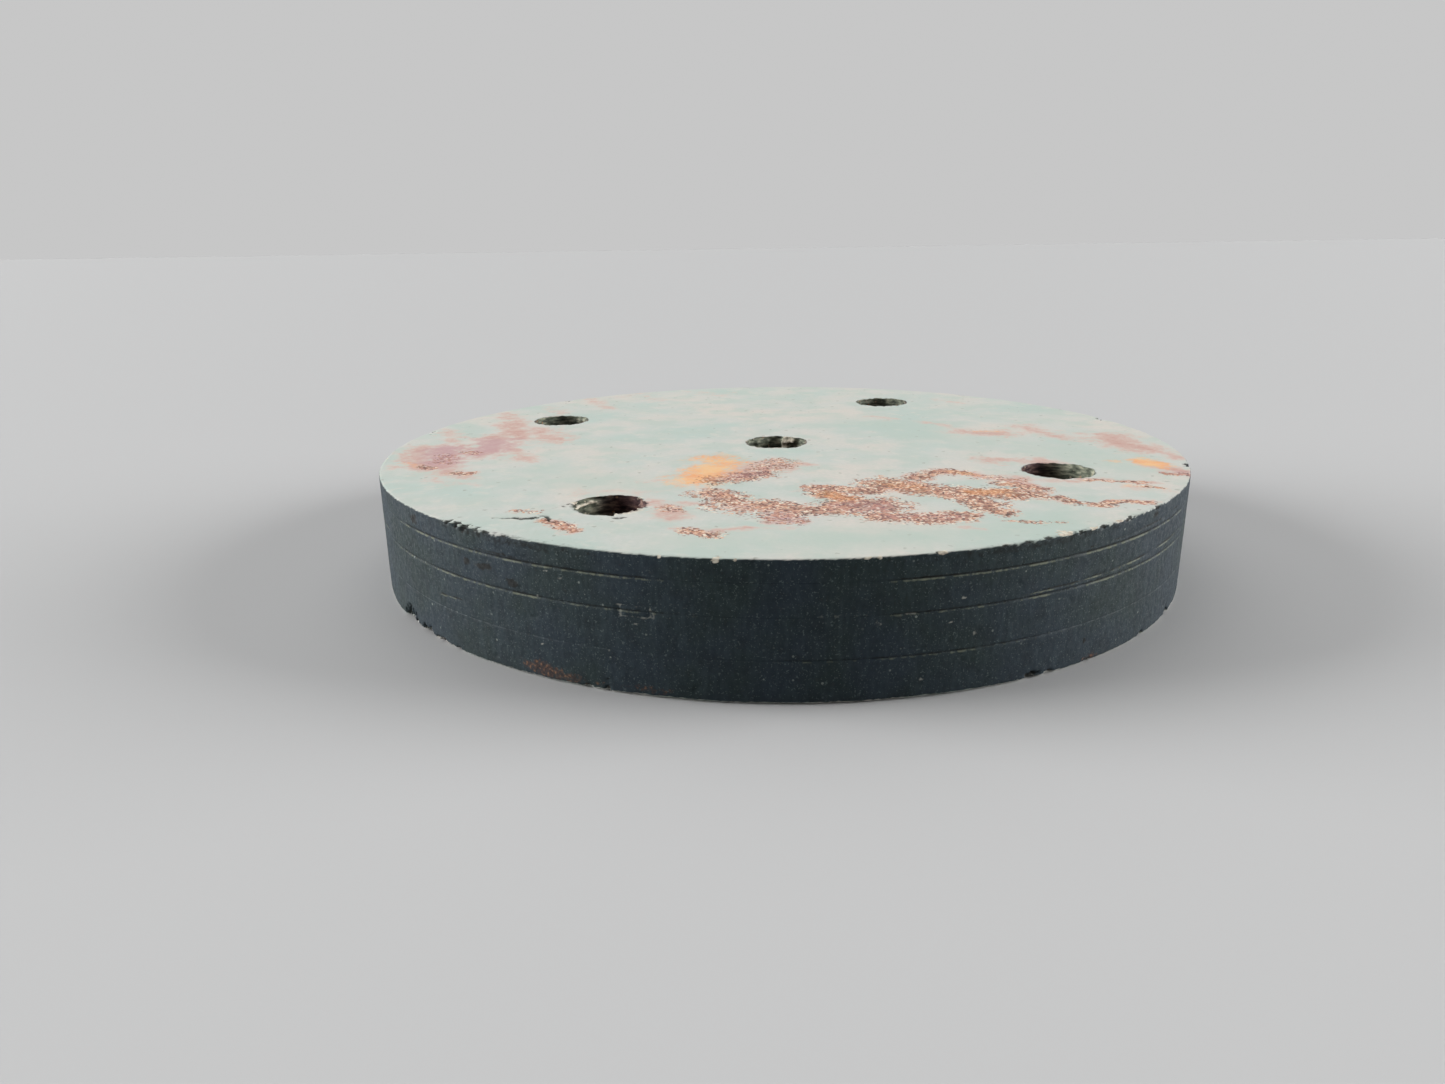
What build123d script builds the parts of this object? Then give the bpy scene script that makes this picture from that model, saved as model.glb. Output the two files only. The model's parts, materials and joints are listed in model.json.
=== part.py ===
from build123d import *
import os

# A flat round friction lining disc, pressed from four plies that are bonded face to face.
# +Z is up, and the origin is the middle of the lower face.

# Driving dimensions, in millimetres and degrees.
DISC_DIAMETER = 69.85
HOLE_DIAMETER = 5.56
HOLE_CIRCLE_DIAMETER = 50.8
HOLE_COUNT = 4
FIRST_HOLE_ANGLE = -31.0

# The plies from the lower face up, each with its thickness.
PLIES = {
    "bottom_face_ply": 2.925,
    "lower_core_ply": 2.8,
    "upper_core_ply": 2.2,
    "top_face_ply": 1.6,
}

# The rim is broken by this much at the disc's two outer edges, and by this much on both
# sides of each bond line, where the two chamfers make a shallow V groove round the rim.
OUTER_EDGE_BREAK = 0.2
BOND_LINE_BREAK = 0.1


def edge_breaks(position):
    """The chamfers at the lower and the upper rim edge of the ply at this place in the stack."""
    lower = OUTER_EDGE_BREAK if position == 0 else BOND_LINE_BREAK
    upper = OUTER_EDGE_BREAK if position == len(PLIES) - 1 else BOND_LINE_BREAK
    return lower, upper


def make_ply(label, base_height, thickness, lower_break, upper_break):
    """One ply: a disc with chamfered rim edges, a centre hole and a ring of fastener holes."""
    with BuildPart() as ply:
        with BuildSketch(Plane.XY.offset(base_height)):
            Circle(DISC_DIAMETER / 2)
        extrude(amount=thickness)
        lower_edge = ply.edges().filter_by(GeomType.CIRCLE).sort_by(Axis.Z)[0]
        chamfer(lower_edge, lower_break)
        upper_edge = ply.edges().filter_by(GeomType.CIRCLE).sort_by(Axis.Z)[-1]
        chamfer(upper_edge, upper_break)
        with Locations((0, 0, base_height + thickness)):
            Hole(HOLE_DIAMETER / 2, depth=thickness)
            with PolarLocations(HOLE_CIRCLE_DIAMETER / 2, HOLE_COUNT, FIRST_HOLE_ANGLE):
                Hole(HOLE_DIAMETER / 2, depth=thickness)
    ply.part.label = label
    return ply.part


def make_disc():
    """The whole stack, one solid for each ply, from the lower face up."""
    plies = []
    base_height = 0.0
    for position, (label, thickness) in enumerate(PLIES.items()):
        plies.append(make_ply(label, base_height, thickness, *edge_breaks(position)))
        base_height += thickness
    return plies


os.makedirs("parts", exist_ok=True)
for part in make_disc():
    export_step(part, f"parts/{part.label}.step")
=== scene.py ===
import json
import math

import bpy
import numpy as np
from mathutils import Matrix, Vector, geometry


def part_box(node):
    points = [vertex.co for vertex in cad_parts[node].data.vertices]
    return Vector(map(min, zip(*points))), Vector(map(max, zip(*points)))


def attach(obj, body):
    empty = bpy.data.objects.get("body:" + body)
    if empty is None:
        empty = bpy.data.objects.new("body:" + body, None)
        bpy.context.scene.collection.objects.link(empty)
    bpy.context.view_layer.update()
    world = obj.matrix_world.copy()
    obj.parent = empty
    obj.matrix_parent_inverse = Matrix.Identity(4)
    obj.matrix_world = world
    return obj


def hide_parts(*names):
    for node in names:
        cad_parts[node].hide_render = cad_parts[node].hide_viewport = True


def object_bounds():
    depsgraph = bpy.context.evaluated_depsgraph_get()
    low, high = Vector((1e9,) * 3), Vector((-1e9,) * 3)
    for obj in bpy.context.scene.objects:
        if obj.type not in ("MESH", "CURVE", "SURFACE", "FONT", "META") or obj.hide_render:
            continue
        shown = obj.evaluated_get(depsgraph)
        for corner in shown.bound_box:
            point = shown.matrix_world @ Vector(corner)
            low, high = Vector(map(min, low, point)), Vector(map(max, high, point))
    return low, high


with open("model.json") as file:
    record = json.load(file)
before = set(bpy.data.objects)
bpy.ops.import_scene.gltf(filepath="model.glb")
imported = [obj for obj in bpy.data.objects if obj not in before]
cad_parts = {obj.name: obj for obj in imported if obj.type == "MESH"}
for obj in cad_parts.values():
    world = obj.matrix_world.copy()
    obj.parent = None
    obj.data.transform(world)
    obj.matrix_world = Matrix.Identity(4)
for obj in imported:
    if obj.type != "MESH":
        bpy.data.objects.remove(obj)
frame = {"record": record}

# A worn round friction lining disc: four plies, each one mesh over its CAD node.
# Shapes are worked out in millimetres and stored in metres. +X is right and +Y is away from
# the camera. Angles are in degrees round the disc's axis, counted from +X.
MM = 0.001
CAD_LOW, CAD_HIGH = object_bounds()
RADIUS = (CAD_HIGH.x - CAD_LOW.x) / 2 / MM
THICKNESS = (CAD_HIGH.z - CAD_LOW.z) / MM
PLY_NODES = ["bottom_face_ply", "lower_core_ply", "upper_core_ply", "top_face_ply"]
BORES = [mount for mount in frame["record"]["mounts"] if mount["kind"] == "bore"]
HOLES = {mount["name"]: np.array(mount["pos_m"][:2]) / MM for mount in BORES}
HOLE_RADIUS = BORES[0]["dims"]["r_mm"]
BOND_HEIGHTS = [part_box(node)[0].z / MM for node in PLY_NODES[1:]]

# Spacing of the mesh's points
RIM_STEP = 0.18
ROW_STEP = 0.11
HOLE_STEP = 0.12
STAINED_STEP = 0.16
LOWER_FACE_STEP = 0.46
HIDDEN_STEP = 4.0
EDGE_INSETS = [0.07, 0.15, 0.25, 0.38, 0.55, 0.78]

# Wear that is the same all over
EDGE_BREAK = 0.07
WEAR_REACH = 1.8
GROOVE_HALF_HEIGHT = 0.10
FACE_SINK = 0.05
RIM_SINK = 0.03

# Stains on the upper face: (strength, half width, route). The half width and the route, from the
# face's middle, are in thousandths of the disc's radius.
# A wash is a thin pink film, rust is a grainy crust, ochre is orange, plum is purple, and
# cool is where the skin is greener.
STAINS = {
    "cool": [
        (0.9, 70, [(-200, -890), (50, -900), (300, -870), (500, -790)]),
        (0.7, 90, [(250, 250), (380, 180), (500, -20)]),
        (0.8, 80, [(660, -140), (760, -200), (800, -360)]),
        (0.6, 70, [(-550, -300), (-450, -420), (-300, -460)]),
    ],
    "wash": [
        (0.9, 75, [(-930, -30), (-910, -120), (-880, -210)]),
        (1.0, 80, [(-860, -30), (-840, -120), (-830, -240)]),
        (0.8, 50, [(-860, -250), (-790, -290), (-740, -350)]),
        (0.5, 40, [(-840, -320), (-790, -380), (-750, -420)]),
        (0.6, 50, [(-930, 220), (-890, 140), (-870, 60)]),
        (1.0, 80, [(-760, 100), (-740, 0), (-760, -90)]),
        (0.9, 60, [(-770, 330), (-730, 220), (-710, 120)]),
        (0.8, 80, [(-670, 220), (-630, 140), (-600, 80)]),
        (0.7, 45, [(-670, -70), (-650, -140), (-620, -190)]),
        (0.7, 50, [(-820, 500), (-770, 400), (-740, 320)]),
        (0.5, 50, [(-690, 620), (-660, 540), (-640, 460)]),
        (0.6, 45, [(-580, 760), (-540, 680), (-500, 580)]),
        (0.4, 45, [(-410, 840), (-350, 720)]),
        (0.4, 50, [(-240, 900), (-160, 820), (-100, 860)]),
        (0.4, 50, [(-540, 780), (-420, 880)]),
        (0.4, 20, [(-720, -420), (-680, -440), (-700, -390)]),
        (0.9, 85, [(-140, -370), (-80, -330), (-20, -280)]),
        (0.5, 24, [(-240, -415), (-330, -420)]),
        (0.7, 35, [(-160, -400), (-80, -370), (0, -280), (50, -290)]),
        (0.8, 45, [(-180, -530), (-130, -580), (-110, -640), (-40, -680)]),
        (0.6, 26, [(-290, -620), (-220, -625), (-150, -640)]),
        (0.8, 40, [(-290, -600), (-260, -660), (-240, -730)]),
        (0.9, 50, [(-50, -660), (-20, -710), (-20, -760)]),
        (0.9, 45, [(0, -690), (80, -660), (160, -660)]),
        (0.8, 45, [(50, -510), (120, -540), (200, -520), (280, -520)]),
        (0.9, 50, [(80, -550), (110, -600), (150, -660)]),
        (0.8, 40, [(160, -730), (200, -755), (260, -757), (330, -752)]),
        (0.8, 38, [(300, -540), (360, -590), (380, -660), (400, -720)]),
        (0.9, 36, [(280, -430), (320, -390), (360, -370), (420, -410)]),
        (0.9, 32, [(420, -410), (460, -435), (505, -465), (520, -550)]),
        (0.8, 36, [(380, -570), (440, -575), (510, -590)]),
        (0.7, 24, [(500, -420), (540, -470), (620, -480), (700, -460)]),
        (0.8, 26, [(540, -620), (570, -660), (610, -680), (650, -650), (710, -670)]),
        (0.8, 48, [(490, -260), (550, -270), (630, -290)]),
        (0.8, 22, [(640, -460), (710, -487), (780, -500)]),
        (0.5, 34, [(720, -540), (780, -560)]),
        (0.9, 46, [(860, -340), (880, -380), (900, -410)]),
        (0.9, 85, [(880, 0), (880, -80), (910, -150)]),
        (0.7, 55, [(910, -170), (940, -250)]),
        (0.5, 30, [(430, 260), (470, 220), (510, 140)]),
        (0.8, 65, [(520, 100), (570, 80), (620, 70)]),
        (0.7, 60, [(700, 170), (720, 80), (770, 0)]),
        (0.5, 40, [(310, 380), (340, 300)]),
        (0.5, 30, [(550, 660), (620, 580)]),
        (0.8, 24, [(-485, -730), (-455, -770), (-420, -815)]),
        (0.8, 22, [(-240, -805), (-180, -835), (-100, -815)]),
        (0.4, 16, [(-100, -815), (-20, -810)]),
        (0.5, 16, [(300, -820), (340, -850)]),
        (0.4, 40, [(-450, -520), (-370, -510), (-290, -540)]),
    ],
    "rust": [
        (0.4, 24, [(-840, -120), (-825, -200)]),
        (0.8, 10, [(-870, -240), (-840, -258)]),
        (0.9, 11, [(-775, -310), (-750, -325), (-735, -315)]),
        (0.6, 9, [(-800, -75), (-775, -90)]),
        (0.8, 30, [(-165, -420), (-110, -405), (-60, -370)]),
        (0.5, 32, [(-60, -350), (-30, -290), (0, -250)]),
        (0.7, 34, [(-175, -540), (-135, -570), (-120, -610)]),
        (0.5, 30, [(-160, -640), (-100, -670), (-50, -680)]),
        (1.0, 34, [(-45, -655), (-20, -670), (0, -700)]),
        (0.5, 26, [(-50, -730), (-10, -760)]),
        (0.9, 26, [(0, -690), (50, -685), (100, -690)]),
        (0.9, 46, [(100, -660), (140, -655), (170, -665)]),
        (0.8, 32, [(70, -555), (100, -590), (120, -610)]),
        (1.0, 20, [(55, -505), (90, -510), (140, -530), (190, -535)]),
        (0.9, 38, [(200, -480), (240, -490), (280, -520)]),
        (0.9, 34, [(280, -535), (330, -550), (370, -570)]),
        (0.7, 22, [(280, -430), (320, -390), (360, -370), (400, -395)]),
        (1.0, 24, [(160, -735), (200, -755), (250, -757), (320, -752)]),
        (1.0, 30, [(330, -560), (360, -610), (385, -670)]),
        (1.0, 18, [(385, -670), (395, -700), (410, -735)]),
        (0.9, 30, [(380, -575), (420, -575), (470, -585)]),
        (0.4, 18, [(420, -415), (460, -435), (505, -465)]),
        (0.8, 22, [(470, -490), (500, -520), (520, -555)]),
        (0.9, 13, [(450, -595), (510, -600), (545, -620), (570, -660)]),
        (0.7, 13, [(570, -665), (610, -680), (650, -650), (705, -670)]),
        (0.6, 7, [(400, -790), (450, -795), (500, -800)]),
        (0.6, 10, [(650, -475), (710, -487), (770, -500)]),
        (0.9, 9, [(755, -540), (775, -547)]),
        (0.8, 11, [(850, -425), (875, -430), (900, -430)]),
        (0.5, 16, [(-265, -650), (-250, -670)]),
        (0.9, 14, [(-215, -825), (-180, -845), (-160, -850)]),
        (0.8, 11, [(-485, -735), (-455, -770), (-420, -810)]),
        (0.4, 12, [(-560, -660), (-520, -670)]),
    ],
    "ochre": [
        (0.8, 70, [(-165, -200), (-140, -260)]),
        (1.0, 75, [(-165, -310), (-185, -370), (-205, -410)]),
        (0.9, 34, [(70, -555), (100, -585), (120, -600)]),
        (0.7, 40, [(210, -480), (250, -500), (280, -530)]),
        (0.7, 24, [(380, -380), (410, -400)]),
        (1.0, 34, [(380, -565), (440, -575)]),
        (0.6, 18, [(775, -290), (785, -300)]),
        (1.0, 38, [(850, -290), (865, -335)]),
        (0.5, 20, [(-920, -200), (-880, -235)]),
        (0.5, 20, [(730, -530), (780, -550)]),
        (0.5, 20, [(560, 105), (610, 100)]),
    ],
    "plum": [
        (0.8, 60, [(-860, -40), (-840, -120), (-830, -200)]),
        (0.7, 60, [(-760, 60), (-740, 0), (-760, -70)]),
        (0.8, 50, [(120, -670), (170, -670)]),
        (0.6, 40, [(-40, -720), (-10, -760)]),
        (0.7, 30, [(-150, -400), (-60, -370)]),
        (0.6, 26, [(180, -745), (300, -755)]),
        (0.7, 20, [(850, -420), (900, -430)]),
    ],
}

# Where each kind of stain stops being solid and where it ends, in half widths
STAIN_EDGES = {
    "cool": (-0.2, 2.0),
    "wash": (-0.2, 1.7),
    "rust": (0.3, 2.1),
    "ochre": (0.0, 1.6),
    "plum": (0.0, 1.6),
}

# Cracks in the upper face: (depth, half width, route). The first two are in millimetres, and the
# route is in thousandths of the radius.
CRACKS = [
    (0.12, 0.09, [(-600, -710), (-570, -715), (-545, -713)]),
    (0.30, 0.14, [(-552, -712), (-535, -720), (-512, -714)]),
    (0.16, 0.10, [(-516, -714), (-505, -700), (-492, -702), (-482, -730)]),
    (0.12, 0.08, [(-490, -725), (-478, -742), (-468, -748)]),
    (0.16, 0.11, [(-365, -722), (-350, -728), (-335, -720)]),
    (0.22, 0.12, [(-486, -642), (-470, -628), (-448, -632)]),
    (0.20, 0.11, [(-462, -612), (-448, -602), (-435, -600)]),
]

# Marks on the rim: (strength, angle, share of the thickness down from the upper face,
# half length in degrees, half height as a share of the thickness)
RIM_MARKS = {
    "orange": [
        (1.0, -119.3, 0.925, 3.0, 0.060), (0.8, -116.0, 0.955, 2.6, 0.040),
        (0.5, -113.0, 0.97, 2.4, 0.030), (0.8, -56.0, 0.965, 1.3, 0.030),
        (0.4, -106.5, 0.95, 2.6, 0.040), (0.8, 64.0, 0.95, 2.2, 0.045),
    ],
    "dark": [
        (0.8, -130.0, 0.26, 0.9, 0.028), (0.9, -127.0, 0.265, 1.6, 0.030),
        (0.9, -122.7, 0.335, 0.8, 0.034), (0.8, -141.2, 0.085, 1.1, 0.045),
        (0.8, -57.2, 0.83, 0.4, 0.020), (0.7, -44.5, 0.06, 0.9, 0.030),
        (0.7, -124.5, 0.145, 2.6, 0.012), (0.8, 22.0, 0.45, 1.4, 0.030),
        (0.45, -124.0, 0.035, 13.0, 0.045), (0.40, -66.0, 0.035, 16.0, 0.040),
        (0.8, 118.0, 0.25, 1.0, 0.040), (0.7, 171.0, 0.60, 1.6, 0.030),
    ],
    "dust": [
        (0.25, -87.0, 0.392, 4.0, 0.016), (0.5, -79.8, 0.402, 1.0, 0.008),
        (0.6, -83.0, 0.455, 0.7, 0.024), (0.7, -78.2, 0.862, 0.45, 0.010),
        (0.8, -75.4, 0.49, 0.25, 0.009), (1.0, -74.0, 0.33, 0.22, 0.012),
        (0.8, -107.6, 0.49, 0.32, 0.011), (1.0, -118.0, 0.20, 0.2, 0.009),
        (0.9, -116.2, 0.24, 0.2, 0.009), (1.0, -119.3, 0.395, 0.25, 0.009),
        (0.9, -119.0, 0.74, 0.2, 0.008), (0.9, -110.7, 0.70, 0.2, 0.010),
        (0.6, -72.6, 0.58, 0.3, 0.040), (0.8, 40.0, 0.62, 0.8, 0.014),
        (0.8, 96.0, 0.47, 0.5, 0.018), (0.7, 150.0, 0.75, 1.2, 0.014),
    ],
}

# Where each bond line shows as a groove, from the lowest line up: (first angle, last angle, strength)
BOND_SHOWS = [
    [(-93, -60, 0.55), (5, 50, 0.6), (100, 150, 0.8), (190, 205, 0.4)],
    [(-150, -104, 0.8), (-82, -34, 0.8), (-5, 70, 0.8), (95, 200, 1.0)],
    [(-145, -106, 0.9), (-81, -34, 1.0), (-20, 55, 0.9), (75, 195, 1.0)],
]
BOND_HIDDEN_SHARE = 0.12

# Scratches round the rim, each from one place to another: (first angle, first share of the
# thickness, last angle, last share, depth in millimetres, strength of the pale lower lip, partly
# dust and partly a painted highlight)
RIM_SCRATCHES = [
    (-67, 0.375, -34, 0.322, 0.065, 0.9), (-60, 0.142, -36, 0.112, 0.045, 0.3),
    (-136.5, 0.595, -130.5, 0.575, 0.045, 0.9), (-129, 0.148, -120, 0.142, 0.030, 0.1),
    (-62, 0.585, -54, 0.550, 0.020, 0.1), (-93, 0.625, -76, 0.640, 0.015, 0.1),
    (28, 0.25, 72, 0.235, 0.050, 0.5), (98, 0.555, 152, 0.575, 0.040, 0.4),
    (172, 0.335, 208, 0.345, 0.055, 0.7), (4, 0.80, 36, 0.79, 0.030, 0.3),
]

# Chips out of the outer edges: (angle, half length, reach inward, reach up or down), in millimetres
TOP_BITES = [
    (-133.2, 0.35, 0.20, 0.16), (-131.6, 0.35, 0.26, 0.18), (-130.0, 0.45, 0.24, 0.20),
    (-128.2, 0.30, 0.18, 0.15), (-126.4, 0.35, 0.12, 0.12), (-123.8, 0.30, 0.08, 0.10),
    (-76.9, 0.20, 0.10, 0.08), (-69.4, 0.25, 0.08, 0.08), (-66.5, 0.30, 0.10, 0.12),
    (-63.9, 0.35, 0.12, 0.14), (-59.2, 0.40, 0.12, 0.16), (-55.6, 0.45, 0.12, 0.16),
    (-50.5, 0.60, 0.12, 0.16), (-44.0, 0.40, 0.12, 0.18),
    (-20.0, 0.7, 0.25, 0.25), (15.0, 1.0, 0.40, 0.30), (48.0, 0.5, 0.25, 0.25),
    (92.0, 1.1, 0.40, 0.45), (131.0, 0.6, 0.30, 0.25), (168.0, 0.9, 0.30, 0.25),
]
BOTTOM_BITES = [
    (-146.0, 1.35, 0.60, 0.75), (-143.6, 0.55, 0.35, 0.35), (-140.2, 0.95, 0.45, 0.36),
    (-136.9, 0.55, 0.30, 0.26), (-133.0, 0.35, 0.18, 0.16), (-113.5, 0.30, 0.15, 0.18),
    (-111.0, 0.15, 0.20, 0.45), (-65.0, 0.60, 0.32, 0.30), (-62.5, 0.30, 0.18, 0.20),
    (-56.2, 0.45, 0.20, 0.20), (-45.0, 0.40, 0.22, 0.25), (-36.0, 0.60, 0.30, 0.35),
    (8.0, 0.8, 0.45, 0.40), (57.0, 1.2, 0.50, 0.60), (104.0, 0.6, 0.35, 0.35),
    (151.0, 0.9, 0.45, 0.50), (182.0, 0.5, 0.30, 0.35),
]

# Cream crumbs along the upper edge: (angle, half length, reach on the face, reach down the rim)
CREAM_CRUMBS = [
    (-99.1, 0.45, 0.25, 0.22), (-97.2, 0.20, 0.05, 0.12), (-104.8, 0.12, 0.05, 0.16),
    (-84.3, 0.28, 0.18, 0.12), (-83.0, 0.18, 0.10, 0.16), (-76.4, 0.35, 0.22, 0.10),
    (-61.3, 0.75, 0.75, 0.05), (-57.2, 0.45, 0.25, 0.05), (-52.6, 0.50, 0.22, 0.05),
    (33.0, 0.6, 0.40, 0.10), (112.0, 0.5, 0.30, 0.12), (188.0, 0.5, 0.35, 0.10),
]

# Torn walls of the holes: (hole, angle, half angle, from and to this depth below the upper face,
# reach into the hole, paleness). A reach below 0 is an undercut.
HOLE_TEARS = [
    ("fastener_hole_4", 142, 42, 0.05, 0.26, -0.20, 0.0),
    ("fastener_hole_4", 146, 34, 0.30, 0.46, 0.34, 0.8),
    ("fastener_hole_4", 160, 60, 0.46, 9.00, 0.18, 0.0),
    ("fastener_hole_4", 5, 40, 0.00, 9.00, 0.30, 0.0),
    ("fastener_hole_4", 200, 26, 0.00, 0.30, 0.26, 0.2),
    ("fastener_hole_4", -48, 30, 0.00, 0.40, 0.40, 0.7),
    ("fastener_hole_4", -76, 2.6, 0.00, 0.16, 1.00, 1.0),
    ("fastener_hole_4", 20, 14, 0.30, 0.44, 0.25, 0.3),
    ("fastener_hole_4", 116, 5, 0.00, 0.10, 0.10, 0.7),
    ("fastener_hole_4", 162, 6, 0.00, 0.12, 0.12, 0.8),
    ("fastener_hole_4", 44, 6, 0.00, 0.14, 0.12, 0.6),
    ("fastener_hole_1", 190, 50, 0.15, 1.40, -0.12, 0.0),
    ("centre_hole", 58, 20, 0.00, 0.60, 0.40, 0.6),
    ("centre_hole", 66, 12, 0.50, 1.30, 0.55, 0.6),
    ("centre_hole", 72, 8, 1.20, 2.60, 0.60, 0.5),
    ("centre_hole", 118, 20, 0.30, 1.60, 0.20, 0.2),
    ("centre_hole", -95, 18, 0.00, 0.60, 0.20, 0.5),
    ("fastener_hole_2", 200, 30, 0.30, 0.80, 0.20, 0.3),
    ("fastener_hole_3", 30, 30, 0.20, 0.60, 0.22, 0.3),
]

# The direction in which each hole's wall is olive and not maroon
OLIVE_SIDES = {"fastener_hole_4": 195, "fastener_hole_1": 0, "centre_hole": 90,
               "fastener_hole_2": 90, "fastener_hole_3": 90}


# Noise and distances

GRADIENTS = np.random.default_rng(11).normal(size=(256, 3))
GRADIENTS /= np.linalg.norm(GRADIENTS, axis=1)[:, None]
HASH_PRIMES = np.array([374761393, 668265263, 1440662683])


def lattice_hash(keys):
    """A repeatable number from 0 to 255 for each whole number."""
    mixed = (keys ^ (keys >> 13)) & 0xFFFFFFFF
    mixed = (mixed * 1274126177) & 0xFFFFFFFF
    return (mixed ^ (mixed >> 16)) & 255


def noise(points, size, seed):
    """Gradient noise from about -1 to 1. Its features are size millimetres wide: one number or three."""
    scaled = points / np.asarray(size, float)
    cell = np.floor(scaled).astype(np.int64)
    offset = scaled - cell
    ease = offset ** 3 * (offset * (offset * 6 - 15) + 10)
    keys = (cell * HASH_PRIMES).sum(axis=1) + seed * 97
    total = np.zeros(len(points))
    for corner in np.ndindex(2, 2, 2):
        corner = np.array(corner)
        gradient = GRADIENTS[lattice_hash(keys + corner @ HASH_PRIMES)]
        weight = np.where(corner, ease, 1 - ease).prod(axis=1)
        total += weight * np.einsum("ij,ij->i", gradient, offset - corner)
    return total * 1.6


def fractal(points, size, seed, octaves=3):
    """Octaves of noise, each half as large and half as strong as the last."""
    size = np.asarray(size, float)
    return sum(noise(points, size / 2 ** k, seed + k) / 2 ** k for k in range(octaves))


def smoothstep(low, high, value):
    share = np.clip((value - low) / (high - low), 0, 1)
    return share * share * (3 - 2 * share)


def bell(value, half_width):
    """1 at 0, falling smoothly to near 0 by twice the half width."""
    return np.exp(-(value / half_width) ** 2)


def route_distance(flat, route):
    """The distance of each flat point from a route of straight runs."""
    best = np.full(len(flat), np.inf)
    for start, end in zip(route[:-1], route[1:]):
        run = np.subtract(end, start)
        share = np.clip((flat - start) @ run / (run @ run), 0, 1)
        best = np.minimum(best, np.linalg.norm(flat - start - share[:, None] * run, axis=1))
    return best


def near_route(flat, route, margin):
    """Whether each flat point is inside the route's box, made larger by the margin."""
    low, high = np.min(route, axis=0) - margin, np.max(route, axis=0) + margin
    return ((flat > low) & (flat < high)).all(axis=1)


def only_where(part, function, *arrays):
    """The function's result for the points where part is true, and 0 for the others."""
    result = np.zeros(len(part))
    if part.any():
        result[part] = function(*[array[part] for array in arrays])
    return result


def polar(points):
    return np.hypot(points[:, 0], points[:, 1]), np.degrees(np.arctan2(points[:, 1], points[:, 0]))


def turn_between(angle, centre):
    """The signed turn from centre to angle, from -180 to 180 degrees."""
    return (angle - centre + 180) % 360 - 180


def in_window(angle, first, last, soft=4.0):
    """1 between two angles and 0 outside, with soft ends."""
    away = np.abs(turn_between(angle, (first + last) / 2))
    half = (last - first) / 2
    return 1 - smoothstep(half - soft, half + soft, away)


# Stains

def stain_fields(points, kinds=tuple(STAINS)):
    """How strong each kind of stain is, from 0 to 1, over the upper face."""
    flat = points * np.array([1.0, 1.0, 0.0])
    shift = [fractal(flat, 3.0, seed) * 0.45 + noise(flat, 0.8, seed + 5) * 0.25 for seed in (21, 41)]
    place = (flat[:, :2] + np.column_stack(shift)) / RADIUS
    ragged = 0.34 * fractal(flat, 1.3, 61) + 0.30 * noise(flat, 0.42, 67)
    fields = {}
    for kind in kinds:
        field = np.zeros(len(points))
        solid, clear = STAIN_EDGES[kind]
        for strength, half_width, route in STAINS[kind]:
            half_width, route = half_width / 1000, np.array(route) / 1000
            near = near_route(place, route, 2.8 * half_width)
            reach = route_distance(place[near], route) / half_width + ragged[near]
            field[near] = np.maximum(field[near], strength * (1 - smoothstep(solid, clear, reach)))
        fields[kind] = field
    return fields


def crack_field(points, sharpness=1.0):
    """How deep each point is in a crack, in millimetres."""
    wander = np.column_stack([noise(points, 0.5, 147), noise(points, 0.5, 149)]) * 0.10
    broken = smoothstep(-0.35, 0.1, noise(points, 0.30, 151))
    depth = np.zeros(len(points))
    for deepest, half_width, route in CRACKS:
        away = route_distance((points[:, :2] + wander) / RADIUS, np.array(route) / 1000) * RADIUS
        depth = np.maximum(depth, deepest * broken * bell(away, half_width * sharpness))
    return depth


# The worn surface

def bite_depths(points, bites, edge_height):
    """How far chips of an outer edge reach at each point: inward, and up or down, in millimetres."""
    radius, angle = polar(points)
    near = (radius > RADIUS - WEAR_REACH) & (np.abs(points[:, 2] - edge_height) < WEAR_REACH)
    rough = only_where(near, lambda part: fractal(part, 0.34, 71) * 0.75, points)
    inward, along_axis = np.zeros((2, len(points)))
    for centre, half_length, reach_in, reach_axis in bites:
        along = np.radians(turn_between(angle, centre)) * RADIUS / half_length
        across = (RADIUS - radius) / (reach_in * 2.0)
        down = np.abs(points[:, 2] - edge_height) / (reach_axis * 1.6)
        share = near * (1 - smoothstep(0.45, 1.1, np.sqrt(along ** 2 + across ** 2 + down ** 2) + rough))
        inward = np.maximum(inward, share * reach_in)
        along_axis = np.maximum(along_axis, share * reach_axis * 0.6)
    return inward, along_axis


def scratch_profiles(points):
    """For each scratch round the rim: its strength here, the height above its middle, depth, and the strength
    of its pale lower lip, partly dust and partly a painted highlight.
    """
    _, angle = polar(points)
    broken = smoothstep(-0.75, -0.1, noise(points, 1.5, 103))
    for first, first_share, last, last_share, depth, dust in RIM_SCRATCHES:
        along = np.clip(turn_between(angle, first) / (last - first), 0, 1)
        height = THICKNESS * (1 - first_share - (last_share - first_share) * along)
        yield broken * in_window(angle, first, last, 2.0), points[:, 2] - height, depth, dust


def bond_strengths(points):
    """How open each bond line's groove is at each point, from 0 to 1, from the lowest line up."""
    _, angle = polar(points)
    for number, windows in enumerate(BOND_SHOWS):
        shown = sum(strength * in_window(angle, first, last) for first, last, strength in windows)
        uneven = 0.75 + 0.35 * fractal(points * np.array([1, 1, 0]), 3.5, 171 + 5 * number)
        yield np.clip(BOND_HIDDEN_SHARE + (1 - BOND_HIDDEN_SHARE) * shown * uneven, 0, 1)


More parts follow.
